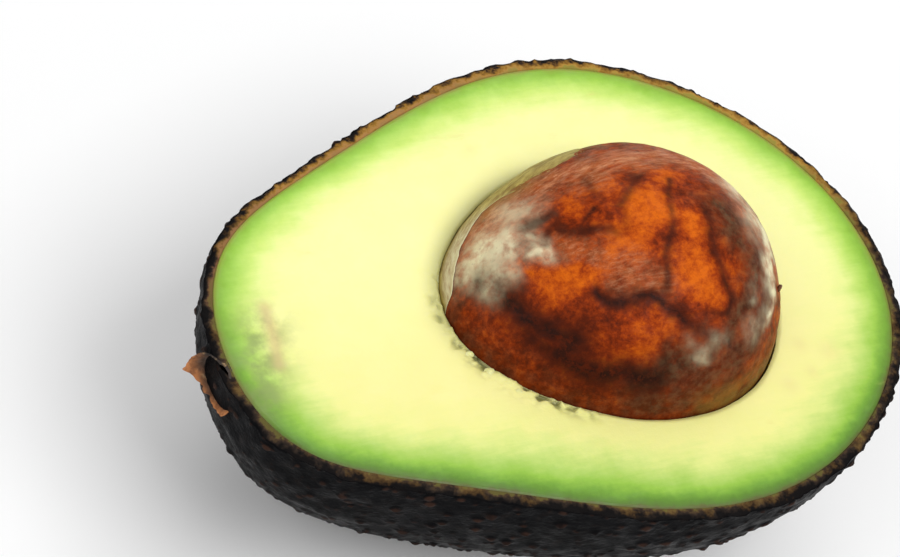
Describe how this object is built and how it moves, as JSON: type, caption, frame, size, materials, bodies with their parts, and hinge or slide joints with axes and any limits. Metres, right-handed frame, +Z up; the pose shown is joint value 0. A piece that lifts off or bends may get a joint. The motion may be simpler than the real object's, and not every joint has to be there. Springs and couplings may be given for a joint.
{
  "type": "avocado half",
  "caption": "Avocado half cut lengthwise, its pale green flesh level in a dark pebbled skin, with the brown seed standing proud in its hollow and a dried stem button.",
  "frame": {"origin": "middle of the small flat spot on the back that the half rests on", "axes": "+Z up, out of the level cut face; +X along the fruit from the stem end to the round end; +Y across it"},
  "size_m": [0.1002, 0.0719, 0.053],
  "materials": {
    "skin": "pebbled, soft sheen",
    "flesh": "moist, satin, green towards the skin",
    "seed": "mottled, polished",
    "seed_coat": "papery",
    "stem": "dry, bark-like"
  },
  "bodies": {
    "root": {"skin": "skin", "flesh": "flesh", "seed": "seed", "seed_coat": "seed_coat", "stem": "stem"}
  },
  "joints": []
}
